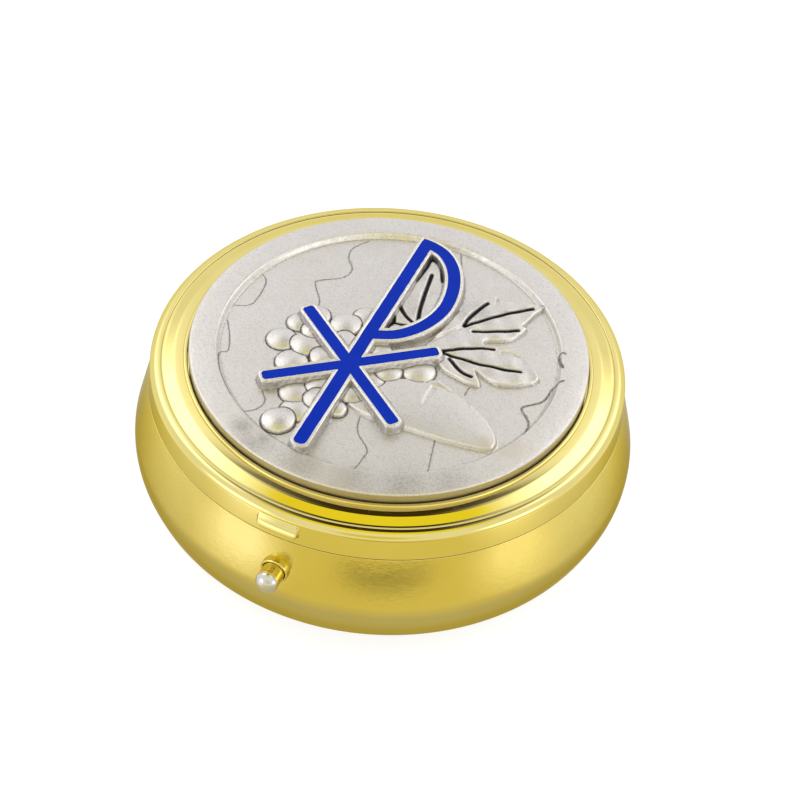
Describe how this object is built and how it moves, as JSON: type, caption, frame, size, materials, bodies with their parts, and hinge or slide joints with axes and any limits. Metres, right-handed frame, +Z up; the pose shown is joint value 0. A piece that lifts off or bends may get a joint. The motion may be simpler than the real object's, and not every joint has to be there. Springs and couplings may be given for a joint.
{
  "type": "pyx",
  "caption": "Small round pyx: a spun bowl and a hinged lid with a push-button latch, and a cast relief medal with an enamelled Chi-Rho set into the lid.",
  "frame": {"origin": "centre of the bowl's flat bottom, on the surface it stands on", "axes": "+Z up, -Y towards the push button, +Y towards the hinge"},
  "size_m": [0.0536, 0.0557, 0.0177],
  "materials": {
    "gilt_satin": "gilt brass, softly polished",
    "gilt_polished": "gilt brass, mirror polished",
    "gilt_inside": "gilt brass, drawn",
    "antique_silver": "silver-plated casting, satin with dark recesses",
    "bright_silver": "bright plated",
    "spring_steel": "bright spring steel",
    "blue_enamel": "glossy royal blue enamel"
  },
  "bodies": {
    "base": {"base_bowl": "gilt_satin", "collar_ring": "gilt_inside", "button_ferrule": "gilt_polished", "latch_spring": "spring_steel", "latch_rivets": "gilt_inside", "base_hinge_leaf": "gilt_polished", "hinge_pin": "spring_steel"},
    "button": {"button_sleeve": "gilt_polished", "button_rivet": "bright_silver"},
    "lid": {"lid_shell": "gilt_polished", "lid_hinge_leaf": "gilt_polished", "medal": "antique_silver", "enamel_inlay": "blue_enamel"}
  },
  "joints": [
    {"name": "lid_hinge", "type": "hinge", "parent": "base", "child": "lid", "pos_m": [0, 0.0261, 0.01264], "axis": [-1, 0, 0], "range_deg": [0, 105]},
    {"name": "button_push", "type": "slide", "parent": "base", "child": "button", "axis": [0, 1, 0], "range_m": [0, 0.0007], "stiffness_N_per_m": 300, "deforming": ["latch_spring"]}
  ]
}
